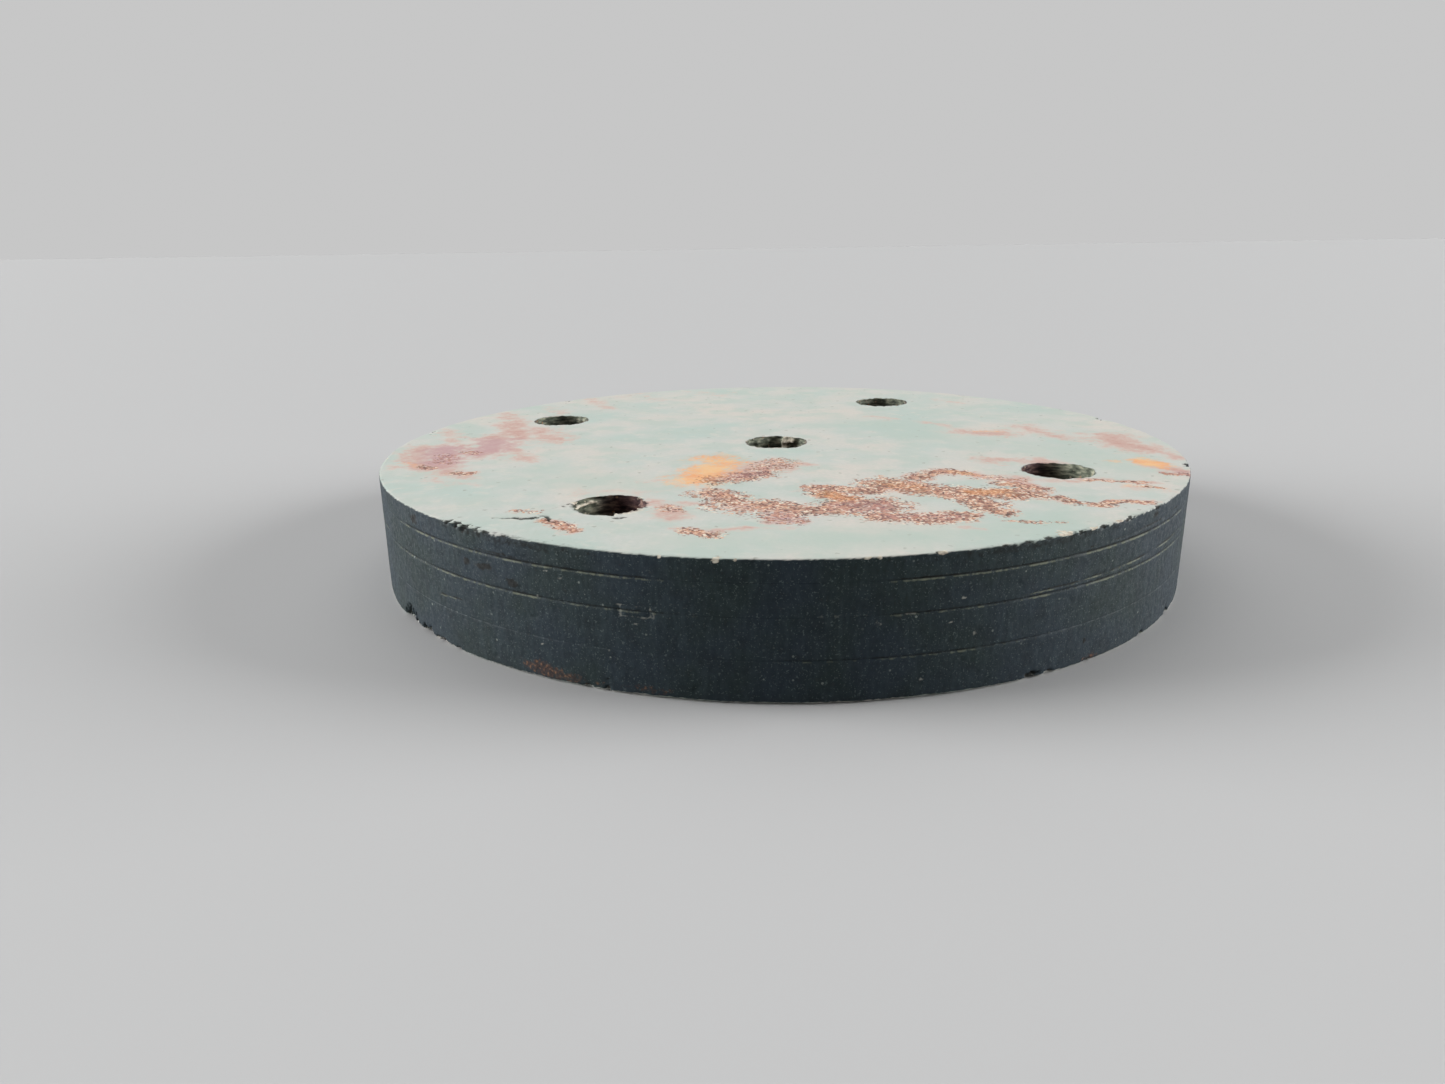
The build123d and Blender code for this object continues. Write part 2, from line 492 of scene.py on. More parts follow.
def rim_depth(points):
    """How far the rim lies inside its nominal radius, in millimetres."""
    depth = RIM_SINK + fractal(points, 1.6, 81) * 0.010 + noise(points, 0.35, 91) * 0.006
    depth += noise(points, (0.30, 0.30, 1.6), 95) * 0.003
    depth += smoothstep(0.62, 0.85, noise(points, 0.5, 113)) * 0.06
    for strength, above, deepest, _ in scratch_profiles(points):
        depth += strength * deepest * bell(above, 0.06)
    for height, strength in zip(BOND_HEIGHTS, bond_strengths(points)):
        away = np.abs(points[:, 2] - height)
        depth += strength * GROOVE_HALF_HEIGHT * np.clip(1 - away / GROOVE_HALF_HEIGHT, 0, 1)
        torn = smoothstep(0.25, 0.7, fractal(points, 0.9, 107)) * strength * 0.05
        depth += torn * bell(away, 0.14)
    return depth + rim_scar(points) * 0.07


def rim_scar(points):
    """The outline of a small rectangular scar on the rim, at the second bond line."""
    _, angle = polar(points)
    along = np.abs(np.radians(turn_between(angle, -107.7)) * RADIUS) / 1.15
    above = np.abs(points[:, 2] - THICKNESS * 0.592) / 0.40
    edge = np.maximum(along, above) + noise(points, 0.5, 117) * 0.12
    return smoothstep(0.72, 0.88, edge) * (1 - smoothstep(0.98, 1.15, edge))


def face_depth(points, rust):
    """How far the upper face lies below its nominal height, in millimetres."""
    depth = FACE_SINK + fractal(points, 2.6, 121) * 0.007 + noise(points, 0.45, 131) * 0.005
    crust = smoothstep(0.2, 0.7, rust)
    grains = noise(points, 0.36, 137) * 0.030 + noise(points, 0.20, 139) * 0.020 - 0.004
    pits = smoothstep(0.50, 0.80, noise(points, 0.42, 141)) * 0.05
    lone_pits = smoothstep(0.80, 0.95, noise(points, 0.5, 143)) * 0.05
    return depth + crust * (grains + pits) + lone_pits + crack_field(points)


def lower_face_depth(points):
    """How far the lower face lies above its nominal height, in millimetres."""
    return 0.03 + fractal(points, 1.8, 161) * 0.012 + np.clip(noise(points, 0.6, 167), 0, 1) * 0.02


def hole_inset(points, name, centre):
    """How far a hole's torn wall lies outside the nominal hole, in millimetres."""
    number = list(HOLES).index(name)
    seed = 200 + 20 * number
    layers = noise(points, (2.4, 2.4, 0.26), seed) * 0.05
    chunks = fractal(points, (1.2, 1.2, 0.8), seed + 3) * 0.04
    ribs = noise(points, (0.35, 0.35, 1.4), seed + 9) * 0.015
    inset = -0.01 + layers + chunks + ribs
    for strength, reach, _ in tear_profiles(points, name, centre):
        inset -= strength * reach
    return inset


def tear_profiles(points, name, centre):
    """For each tear of one hole's wall: its strength here, its reach and its paleness."""
    angle = np.degrees(np.arctan2(points[:, 1] - centre[1], points[:, 0] - centre[0]))
    ragged = noise(points, 0.35, 181) * 0.12
    depth = THICKNESS - points[:, 2] + ragged * 0.4
    for hole, middle, half, start, end, reach, paleness in HOLE_TEARS:
        if hole == name:
            away = np.abs(turn_between(angle, middle)) / half + ragged
            round_it = 1 - smoothstep(0.6, 1.0, away)
            below_start = smoothstep(start - 0.06, start + 0.02, depth)
            above_end = 1 - smoothstep(end - 0.05, end + 0.06, depth)
            yield round_it * (below_start * above_end), reach, paleness


def crumble(points, edge_height, seed, amount):
    """How far an outer edge has crumbled, in millimetres."""
    radius, _ = polar(points)
    away = np.hypot(RADIUS - radius, points[:, 2] - edge_height)
    worn = only_where(away < 0.6, lambda part: fractal(part, 2.2, seed) * 0.5
                      + np.clip(noise(part, 0.35, seed + 7), 0, 1) * 0.8, points)
    return np.clip(worn + 0.5, 0, 2) * amount * bell(away, 0.16)


def directions_from(points, centre):
    """How far each point is from an upright axis, and the flat unit direction away from it."""
    offset = points[:, :2] - centre
    distance = np.linalg.norm(offset, axis=1)
    flat = offset / np.maximum(distance, 1e-9)[:, None]
    return distance, np.column_stack([flat, np.zeros(len(points))])


def wear(points, rust):
    """Moves nominal surface points to the worn surface. Only the place counts, so plies stay joined."""
    radius, outward = directions_from(points, (0, 0))
    upward = np.array([0.0, 0.0, 1.0])
    below_top, above_bottom = THICKNESS - points[:, 2], points[:, 2]
    moved = points.copy()

    worn_in = only_where(radius > RADIUS - WEAR_REACH, rim_depth, points)
    moved -= outward * (worn_in * np.exp(-np.clip(RADIUS - radius, 0, None) / 0.30))[:, None]
    worn_down = only_where(below_top < WEAR_REACH, face_depth, points, rust)
    moved -= upward * (worn_down * np.exp(-below_top / 0.25))[:, None]
    worn_up = only_where(above_bottom < WEAR_REACH, lower_face_depth, points)
    moved += upward * (worn_up * np.exp(-above_bottom / 0.25))[:, None]

    for name, centre in HOLES.items():
        distance, away = directions_from(points, centre)
        near = distance < HOLE_RADIUS + WEAR_REACH
        fading = np.exp(-np.clip(distance - HOLE_RADIUS, 0, None) / 0.30)
        inset = only_where(near, lambda part: hole_inset(part, name, centre), points)
        moved += away * (fading * inset)[:, None]
        crumbled = only_where(near, lambda part: np.maximum(0.03 + fractal(part, 0.7, 301) * 0.10, 0), points)
        moved -= upward * (fading * np.exp(-below_top / 0.2) * crumbled)[:, None]

    top_worn = crumble(points, THICKNESS, 401, 0.06)
    bottom_worn = crumble(points, 0.0, 431, 0.09)
    top_in, top_down = bite_depths(points, TOP_BITES, THICKNESS)
    bottom_in, bottom_up = bite_depths(points, BOTTOM_BITES, 0.0)
    moved -= outward * (0.6 * (top_worn + bottom_worn) + top_in + bottom_in)[:, None]
    moved += upward * (bottom_worn + bottom_up - top_worn - top_down)[:, None]

    moved[:, :2] *= np.minimum(1, RADIUS / np.maximum(polar(moved)[0], 1e-9))[:, None]
    moved[:, 2] = np.clip(moved[:, 2], 0, THICKNESS)
    return moved


# What the material reads

def skin_field(points):
    """Where the pale skin of the two faces is, with its ragged edge just over the rim."""
    radius, angle = polar(points)
    torn = in_window(angle, -136, -122, 2) + in_window(angle, -68, -42, 3) + 0.5
    torn *= np.exp(-np.clip(RADIUS - radius, 0, None) / 0.25)
    rough = only_where(radius > RADIUS - WEAR_REACH,
                       lambda part: 0.08 * fractal(part, 0.5, 501) + 0.09 * noise(part, 0.25, 507), points)
    edge = 0.05 + rough * torn
    on_top = 1 - smoothstep(edge - 0.03, edge + 0.03, THICKNESS - points[:, 2])
    on_bottom = 1 - smoothstep(0.03, 0.09, points[:, 2] + 0.4 * rough)
    return np.maximum(on_top, on_bottom)


def crumb_field(points):
    """Where the cream crumbs along the upper edge are."""
    radius, angle = polar(points)
    rough = fractal(points, 0.30, 531) * 0.55
    field = np.zeros(len(points))
    for centre, half_length, on_face, down_rim in CREAM_CRUMBS:
        along = np.radians(turn_between(angle, centre)) * RADIUS / half_length
        across = (RADIUS - radius) / (on_face + 0.1)
        down = (THICKNESS - points[:, 2]) / (down_rim + 0.1)
        reach = np.sqrt(along ** 2 + across ** 2 + down ** 2) + rough
        field = np.maximum(field, 1 - smoothstep(0.6, 1.0, reach))
    return field


def hole_fields(points):
    """Where the holes' torn walls are, how olive they are, and where they are pale."""
    wall, olive, pale = np.zeros((3, len(points)))
    for name, centre in HOLES.items():
        distance, _ = directions_from(points, centre)
        near = np.flatnonzero(distance < HOLE_RADIUS + WEAR_REACH)
        part = points[near]
        angle = np.degrees(np.arctan2(part[:, 1] - centre[1], part[:, 0] - centre[0]))
        mouth = HOLE_RADIUS + 0.045 + np.clip(fractal(part, 0.6, 511), 0, 1) * 0.06
        wall[near] = 1 - smoothstep(mouth - 0.04, mouth + 0.04, distance[near])
        lining = 1 - smoothstep(0.15, 0.45, distance[near] - HOLE_RADIUS)
        olive[near] = 0.5 + 0.5 * np.cos(np.radians(angle - OLIVE_SIDES[name]))
        for strength, _, paleness in tear_profiles(part, name, centre):
            pale[near] = np.maximum(pale[near], strength * paleness * lining)
    return wall, olive, pale


def lip_highlight_and_dust_field(points):
    """Where a pale lower lip lies just below each groove and scratch round the rim: a painted highlight where
    the lip faces the light, partly dust and torn fibres.
    """
    field = np.zeros(len(points))
    uneven = 0.35 + 0.65 * smoothstep(-0.7, 0.2, fractal(points, (1.6, 1.6, 1.0), 521))
    for height, strength in zip(BOND_HEIGHTS, bond_strengths(points)):
        field = np.maximum(field, uneven * strength * bell(points[:, 2] - height + 0.08, 0.07))
    for strength, above, _, dust in scratch_profiles(points):
        field = np.maximum(field, uneven * strength * dust * bell(above + 0.07, 0.06))
    return field * smoothstep(RADIUS - 0.5, RADIUS - 0.2, polar(points)[0])


def groove_shade_field(points):
    """Where painted shade darkens the bottom of each groove and scratch round the rim."""
    field = np.zeros(len(points))
    for height, strength in zip(BOND_HEIGHTS, bond_strengths(points)):
        field = np.maximum(field, strength * bell(points[:, 2] - height - 0.03, 0.075))
    for strength, above, depth, _ in scratch_profiles(points):
        field = np.maximum(field, strength * min(1, depth / 0.05) * bell(above - 0.01, 0.05))
    return field * smoothstep(RADIUS - 0.5, RADIUS - 0.2, polar(points)[0])


def rim_mark_field(points, kind):
    """How strong one kind of mark on the rim is."""
    radius, angle = polar(points)
    share = 1 - points[:, 2] / THICKNESS
    ragged = 0.35 * fractal(points, 0.8, 541) + 0.3 * noise(points, 0.25, 547)
    field = np.zeros(len(points))
    for strength, centre, middle, half_angle, half_share in RIM_MARKS[kind]:
        reach = np.hypot(turn_between(angle, centre) / half_angle, (share - middle) / half_share) + ragged
        field = np.maximum(field, strength * (1 - smoothstep(0.4, 1.3, reach)))
    return field * smoothstep(RADIUS - 0.6, RADIUS - 0.3, radius)


def surface_fields(points, stains):
    """All the layers that the material reads, each from 0 to 1."""
    at_rim = polar(points)[0] > RADIUS - WEAR_REACH
    on_top = points[:, 2] > THICKNESS - 0.5
    wall, olive, pale = hole_fields(points)
    marks = {kind: only_where(at_rim, lambda part: rim_mark_field(part, kind), points) for kind in RIM_MARKS}
    scar = only_where(at_rim, rim_scar, points)
    top_in, top_down = bite_depths(points, TOP_BITES, THICKNESS)
    bottom_in, bottom_up = bite_depths(points, BOTTOM_BITES, 0.0)
    # Painted shade: chips in the outer edges are darkened as recesses in shadow.
    bites = smoothstep(0.03, 0.15, top_in + top_down) + smoothstep(0.05, 0.25, bottom_in + bottom_up)
    # Painted shade: the cracks in the upper face are darkened.
    crack_shade = only_where(on_top, lambda part: crack_field(part, 1.3) / 0.12, points)
    # Painted shade at the bottoms of the rim's grooves and scratches.
    groove_shade = only_where(at_rim, groove_shade_field, points)
    return {
        **stains,
        "skin": skin_field(points) * (1 - wall),
        "wall": wall,
        "olive": olive,
        "pale": np.maximum(pale, only_where(at_rim, crumb_field, points)),
        "lip": only_where(at_rim, lip_highlight_and_dust_field, points),
        "orange": marks["orange"],
        "dust": np.maximum(marks["dust"], 0.5 * scar),
        # Real dark marks on the rim, together with painted shade in chips, cracks, grooves and scratches.
        "dirt_and_shade": np.maximum.reduce([bites, crack_shade, marks["dark"], groove_shade]),
    }


# Building a ply's mesh

class Sheet:
    """A square map for baking, filled with strips in rows from the bottom up."""

    GAP = 0.006

    def __init__(self, scale):
        self.scale, self.x, self.y, self.row_height = scale, self.GAP, self.GAP, 0.0

    def place(self, length, height):
        """The lower left corner on the map for a strip of this size in millimetres."""
        wide, tall = length * self.scale, height * self.scale
        if self.x + wide > 1 - self.GAP:
            self.x, self.y, self.row_height = self.GAP, self.y + self.row_height + self.GAP, 0.0
        corner = (self.x, self.y)
        self.x += wide + self.GAP
        self.row_height = max(self.row_height, tall)
        return corner

    def top(self):
        return self.y + self.row_height + self.GAP


class Shell:
    """A mesh in the making: points, and faces with each corner's place on the map."""

    def __init__(self):
        self.points, self.faces, self.places, self.count = [], [], [], 0

    def add_points(self, points):
        """Adds points and returns the indices that they get."""
        self.points.append(points)
        self.count += len(points)
        return np.arange(self.count - len(points), self.count)

    def add_faces(self, faces, places):
        self.faces.append(faces)
        self.places.append(places)

    def mesh(self, name, points):
        mesh = bpy.data.meshes.new(name)
        mesh.vertices.add(len(points))
        mesh.vertices.foreach_set("co", (points * MM).ravel())
        corners = np.concatenate([faces.ravel() for faces in self.faces])
        sizes = np.concatenate([np.full(len(faces), faces.shape[1]) for faces in self.faces])
        mesh.loops.add(len(corners))
        mesh.loops.foreach_set("vertex_index", corners)
        mesh.polygons.add(len(sizes))
        mesh.polygons.foreach_set("loop_start", np.cumsum(sizes) - sizes)
        mesh.update(calc_edges=True)
        uv = mesh.uv_layers.new(name="OFBake")
        uv.data.foreach_set("uv", np.concatenate([places.ravel() for places in self.places]))
        mesh.validate()
        mesh.shade_smooth()
        return mesh


def ring(centre, radius, steps, height=0.0):
    turn = np.arange(steps) * 2 * math.pi / steps
    x, y = centre[0] + radius * np.cos(turn), centre[1] + radius * np.sin(turn)
    return np.column_stack([x, y, np.full(steps, height)])


def steps_round(radius, step):
    return round(2 * math.pi * radius / step)


def wall_rows(low, high, low_break, high_break):
    """Heights and insets of the rows of a wall, closer together at its two edges."""
    edge_rows = np.array([0.0, 0.05])
    bottom, top = low + low_break, high - high_break
    count = round((top - bottom - 0.2) / ROW_STEP)
    middle = np.linspace(bottom + 0.1, top - 0.1, count + 1)
    heights = np.concatenate([[low], bottom + edge_rows, middle, top - edge_rows[::-1], [high]])
    insets = np.zeros(len(heights))
    insets[0], insets[-1] = low_break, high_break
    return heights, insets


def add_wall(shell, sheet, centre, radius, steps, heights, insets, outward, segments=1):
    """A round wall of quads, cut into segments on the map. Returns its lower and upper loops."""
    rows = [ring(centre, radius - inset, steps, height) for height, inset in zip(heights, insets)]
    index = shell.add_points(np.vstack(rows)).reshape(len(rows), steps)
    after = np.roll(index, -1, axis=1)
    faces = np.stack([index[:-1], after[:-1], after[1:], index[1:]], axis=-1).reshape(-1, 4)

    arc = 2 * math.pi * radius / steps
    cuts = np.linspace(0, steps, segments + 1).astype(int)
    corners = [sheet.place((last - first) * arc, heights[-1] - heights[0])
               for first, last in zip(cuts[:-1], cuts[1:])]
    column = np.arange(steps)
    segment = np.searchsorted(cuts, column, side="right") - 1
    left = np.array(corners)[segment, 0] + (column - cuts[segment]) * arc * sheet.scale
    right = left + arc * sheet.scale
    base = np.array(corners)[segment, 1]
    rise = (heights - heights[0])[:, None] * sheet.scale
    low, high = base + rise[:-1], base + rise[1:]
    left, right = np.broadcast_to(left, low.shape), np.broadcast_to(right, low.shape)
    places = np.stack([np.stack(pair, axis=-1) for pair in
                       [(left, low), (right, low), (right, high), (left, high)]], axis=-2).reshape(-1, 4, 2)
    if not outward:
        faces, places = faces[:, ::-1], places[:, ::-1]
    shell.add_faces(faces, places)
    return index[0], index[-1]


def lattice(step):
    """Points of a triangular lattice over the disc, and which of them every second one keeps."""
    rows = int(RADIUS / (step * math.sqrt(0.75))) + 2
    columns = int(RADIUS / step) + 2
    j, i = np.mgrid[-rows:rows + 1, -columns:columns + 1]
    flat = np.column_stack([((i + 0.5 * (j % 2)) * step).ravel(), (j * step * math.sqrt(0.75)).ravel()])
    every_second = (j % 2 == 0) & ((i + (j // 2) % 2) % 2 == 0)
    return flat, every_second.ravel()


def clear_of_edges(flat, margin):
    keep = np.hypot(flat[:, 0], flat[:, 1]) < RADIUS - margin
    for centre in HOLES.values():
        keep &= np.linalg.norm(flat - centre, axis=1) > HOLE_RADIUS + margin
    return keep


def face_points(kind):
    """Flat points inside a face: rings along its edges, and a lattice that is finer in the stains."""
    if kind == "hidden":
        flat, _ = lattice(HIDDEN_STEP)
        return flat[clear_of_edges(flat, HIDDEN_STEP / 2)]
    rings = [ring((0, 0), RADIUS - EDGE_BREAK - inset, steps_round(RADIUS, RIM_STEP))
             for inset in EDGE_INSETS]
    for centre in HOLES.values():
        rings += [ring(centre, HOLE_RADIUS + inset, steps_round(HOLE_RADIUS, HOLE_STEP))[::skip]
                  for inset, skip in zip(EDGE_INSETS, [1, 1, 1, 2, 2, 3])]
    if kind == "lower":
        flat, _ = lattice(LOWER_FACE_STEP)
    else:
        flat, every_second = lattice(STAINED_STEP)
        inside = np.hypot(flat[:, 0], flat[:, 1]) < RADIUS
        flat, every_second = flat[inside], every_second[inside]
        upper = np.column_stack([flat, np.full(len(flat), THICKNESS)])
        detailed = (stain_fields(upper, ["rust"])["rust"] > 0.15) | (crack_field(upper, 3.0) > 0.01)
        flat = flat[detailed | every_second]
    flat = flat[clear_of_edges(flat, EDGE_INSETS[-1] + STAINED_STEP)]
    return np.vstack([rows[:, :2] for rows in rings] + [flat])


def add_face(shell, outer, inner, height, kind, upward, map_centre, map_scale):
    """Fills a ply's end between its rim loop and its hole loops with a triangulated flat face."""
    extra = face_points(kind)
    extra_index = shell.add_points(np.column_stack([extra, np.full(len(extra), height)]))
    loops = np.concatenate([outer] + inner)
    index = np.concatenate([loops, extra_index])
    flat = np.vstack([np.vstack(shell.points)[loops, :2], extra])
    edges, start = [], 0
    for loop in [outer] + inner:
        edges += [(start + k, start + (k + 1) % len(loop)) for k in range(len(loop))]
        start += len(loop)
    result = geometry.delaunay_2d_cdt([Vector(point) for point in flat], edges, [], 0, 1e-7)
    source = np.array([found[0] for found in result[3]])
    triangles = source[np.array([tuple(face) for face in result[2]])]
    middle = flat[triangles].mean(axis=1)
    in_hole = np.zeros(len(triangles), bool)
    for centre in HOLES.values():
        in_hole |= np.linalg.norm(middle - centre, axis=1) < HOLE_RADIUS * 0.998
    triangles = triangles[~in_hole]
    a, b, c = (flat[triangles[:, corner]] for corner in range(3))
    counterclockwise = np.cross(b - a, c - a) > 0
    wrong = counterclockwise != upward
    triangles[wrong] = triangles[wrong][:, ::-1]
    shell.add_faces(index[triangles], flat[triangles] * map_scale + np.array(map_centre))


def map_layout(height, exposed):
    """The largest map scale, and its number of rim segments, at which a whole ply fits on the map."""
    for scale in np.arange(0.030, 0.006, -0.0001):
        for segments in range(3, 9):
            if 2 * math.pi * RADIUS / segments * scale > 1 - 2 * Sheet.GAP:
                continue
            trial = Sheet(scale)
            for _ in range(segments):
                trial.place(2 * math.pi * RADIUS / segments, height)
            for _ in HOLES:
                trial.place(2 * math.pi * HOLE_RADIUS, height)
            face_size = 2 * RADIUS * scale if exposed else 0.10
            if trial.top() + face_size <= 1 - Sheet.GAP:
                return scale, segments
    raise ValueError("a ply doesn't fit on its map")


def make_ply(node, material):
    low, high = (corner.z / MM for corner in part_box(node))
    is_bottom, is_top = node == PLY_NODES[0], node == PLY_NODES[-1]
    scale, segments = map_layout(high - low, is_bottom or is_top)
    sheet, shell = Sheet(scale), Shell()
    heights, insets = wall_rows(low, high, EDGE_BREAK if is_bottom else 0.0, EDGE_BREAK if is_top else 0.0)
    rim_steps, hole_steps = steps_round(RADIUS, RIM_STEP), steps_round(HOLE_RADIUS, HOLE_STEP)
    rim_low, rim_high = add_wall(shell, sheet, (0, 0), RADIUS, rim_steps, heights, insets, True, segments)
    hole_loops = [add_wall(shell, sheet, centre, HOLE_RADIUS, hole_steps, heights, insets * 0, False)
                  for centre in HOLES.values()]
    hole_lows, hole_highs = (list(loops) for loops in zip(*hole_loops))

    shown_place = ((0.5, 1 - Sheet.GAP - RADIUS * scale), scale)
    corner_scale = 0.045 / RADIUS
    low_kind, low_place = ("lower", shown_place) if is_bottom else ("hidden", ((0.05, 0.95), corner_scale))
    high_kind, high_place = ("upper", shown_place) if is_top else ("hidden", ((0.95, 0.95), corner_scale))
    add_face(shell, rim_low, hole_lows, low, low_kind, False, *low_place)
    add_face(shell, rim_high, hole_highs, high, high_kind, True, *high_place)

    points = np.vstack(shell.points)
    stains = stain_fields(points) if is_top else {kind: np.zeros(len(points)) for kind in STAINS}
    mesh = shell.mesh(node + "_worn", wear(points, stains["rust"]))
    for name, field in surface_fields(points, stains).items():
        layer = mesh.attributes.new(name, "FLOAT", "POINT")
        layer.data.foreach_set("value", np.clip(field, 0, 1).astype(np.float32))
    mesh.materials.append(material)
    piece = bpy.data.objects.new(node + "_worn", mesh)
    bpy.context.scene.collection.objects.link(piece)
    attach(piece, "root")
    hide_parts(node)
    return piece


# Material

def screen(red, green, blue):
    """A linear colour from the usual 0 to 255 screen values."""
    values = [value / 255 for value in (red, green, blue)]
    return tuple(v / 12.92 if v < 0.04045 else ((v + 0.055) / 1.055) ** 2.4 for v in values) + (1,)


class Nodes:
    """Short names for the shader nodes that the materials use."""

    def __init__(self, name):
        self.material = bpy.data.materials.new(name)
        self.material.use_nodes = True
        self.tree = self.material.node_tree
        self.shader = self.tree.nodes["Principled BSDF"]
        coordinates = self.tree.nodes.new("ShaderNodeTexCoord").outputs["Object"]
        self.place = self.vector("MULTIPLY", coordinates, (1 / MM, 1 / MM, 1 / MM))

    def put(self, value, socket):
        """Links a socket to another, or sets a plain value on it."""
        if isinstance(value, bpy.types.NodeSocket):
            self.tree.links.new(value, socket)
        else:
            socket.default_value = value

    def vector(self, operation, a, b):
        node = self.tree.nodes.new("ShaderNodeVectorMath")
        node.operation = operation
        self.put(a, node.inputs[0])
        self.put(b, node.inputs[1])
        return node.outputs[0]

    def math(self, operation, a, b):
        node = self.tree.nodes.new("ShaderNodeMath")
        node.operation = operation
        self.put(a, node.inputs[0])
        self.put(b, node.inputs[1])
        return node.outputs[0]

    def attribute(self, name):
        node = self.tree.nodes.new("ShaderNodeAttribute")
        node.attribute_name = name
        return node.outputs["Fac"]

    def noise(self, size, detail=2.0, stretch=(1, 1, 1)):
        """Noise with features about size millimetres wide, or wider where stretch is below 1."""
        node = self.tree.nodes.new("ShaderNodeTexNoise")
        node.inputs["Scale"].default_value = 1 / size
        node.inputs["Detail"].default_value = detail
        self.put(self.vector("MULTIPLY", self.place, stretch), node.inputs["Vector"])
        return node.outputs["Fac"]

    def grains(self, size):
        """Grains about size millimetres wide: distance from each grain's middle, and two random values."""
        node = self.tree.nodes.new("ShaderNodeTexVoronoi")
        node.inputs["Scale"].default_value = 1 / size
        self.put(self.place, node.inputs["Vector"])
        split = self.tree.nodes.new("ShaderNodeSeparateColor")
        self.put(node.outputs["Color"], split.inputs[0])
        return node.outputs["Distance"], split.outputs[0], split.outputs[1]

    def step(self, value, low, high, to_low=0.0, to_high=1.0):
        """Eases from to_low to to_high as value goes from low to high."""
        node = self.tree.nodes.new("ShaderNodeMapRange")
        node.interpolation_type = "SMOOTHSTEP"
        self.put(value, node.inputs["Value"])
        node.inputs["From Min"].default_value = low
        node.inputs["From Max"].default_value = high
        node.inputs["To Min"].default_value = to_low
        node.inputs["To Max"].default_value = to_high
        return node.outputs["Result"]

    def ramp(self, value, *stops):
        """A colour for each value, from stops of a position and a screen colour."""
        node = self.tree.nodes.new("ShaderNodeValToRGB")
        elements = node.color_ramp.elements
        while len(elements) < len(stops):
            elements.new(0.5)
        for element, (position, colour) in zip(elements, stops):
            element.position = position
            element.color = screen(*colour)
        self.put(value, node.inputs["Fac"])
        return node.outputs["Color"]

    def mix(self, share, under, over):
        """Lays over on under. Each is a socket or a screen colour."""
        node = self.tree.nodes.new("ShaderNodeMix")
        node.data_type = "RGBA"
        self.put(share, node.inputs[0])
        for colour, socket in ((under, node.inputs[6]), (over, node.inputs[7])):
            self.put(screen(*colour) if isinstance(colour, tuple) else colour, socket)
        return node.outputs[2]


def body_colour(n, grain, medium):
    """Dark green-grey composite with an upright grain, pale flecks, dirty patches, dust and rust marks, and a
    painted highlight on the lower lips of the rim's grooves.
    """
    upright = n.noise(0.30, 2, (1, 1, 0.2))
    colour = n.ramp(n.noise(5.0, 3), (0.38, (37, 49, 50)), (0.60, (39, 50, 58)))
    colour = n.mix(n.step(upright, 0.44, 0.66, 0, 0.14), colour, (70, 85, 90))
    colour = n.mix(n.step(medium, 0.50, 0.70, 0, 0.45), colour, (28, 37, 43))
    distance, chance, tone = n.grains(0.30)
    fleck = n.math("MULTIPLY", n.step(chance, 0.982, 0.988), n.step(distance, 0.36, 0.20))
    colour = n.mix(n.math("MULTIPLY", fleck, n.step(tone, 0.0, 1.0, 0.1, 0.7)), colour, (138, 146, 140))
    speck = n.step(n.noise(0.12, 1), 0.60, 0.74, 0, 0.35)
    colour = n.mix(speck, colour, (112, 124, 122))
    # Pale lower lips of the rim's grooves and scratches: a painted highlight where each faces the light,
    # partly dust.
    lip = n.math("ADD", n.attribute("lip"), n.step(grain, 0.3, 0.7, -0.35, 0.15))
    colour = n.mix(n.step(lip, 0.15, 0.85, 0, 0.65), colour, (136, 140, 120))
    dust = n.math("ADD", n.attribute("dust"), n.step(grain, 0.35, 0.65, -0.35, 0.2))
    colour = n.mix(n.step(dust, 0.2, 0.9, 0, 0.75), colour, (158, 158, 150))
    orange = n.math("ADD", n.attribute("orange"), n.step(grain, 0.35, 0.65, -0.4, 0.2))
    rust = n.ramp(n.noise(0.22, 2), (0.38, (56, 46, 44)), (0.54, (86, 64, 54)), (0.66, (146, 106, 78)))
    return n.mix(n.step(orange, 0.10, 1.0, 0, 0.75), colour, rust)


def skin_colour(n, grain, medium):
    """Chalky sage skin, cool and warm in patches, with fine mottling and a few pores."""
    colour = n.ramp(n.noise(10.0, 3), (0.36, (187, 200, 193)), (0.50, (202, 203, 197)),
                    (0.64, (210, 204, 196)))
    colour = n.mix(n.step(n.noise(3.2, 4), 0.42, 0.66, 0, 0.65), colour, (184, 197, 188))
    colour = n.mix(n.step(medium, 0.52, 0.70, 0, 0.45), colour, (214, 209, 200))
    colour = n.mix(n.step(grain, 0.36, 0.66, 0.20, 0), colour, (172, 180, 168))
    _, chance, _ = n.grains(0.26)
    return n.mix(n.step(chance, 0.993, 0.996, 0, 0.45), colour, (138, 138, 124))


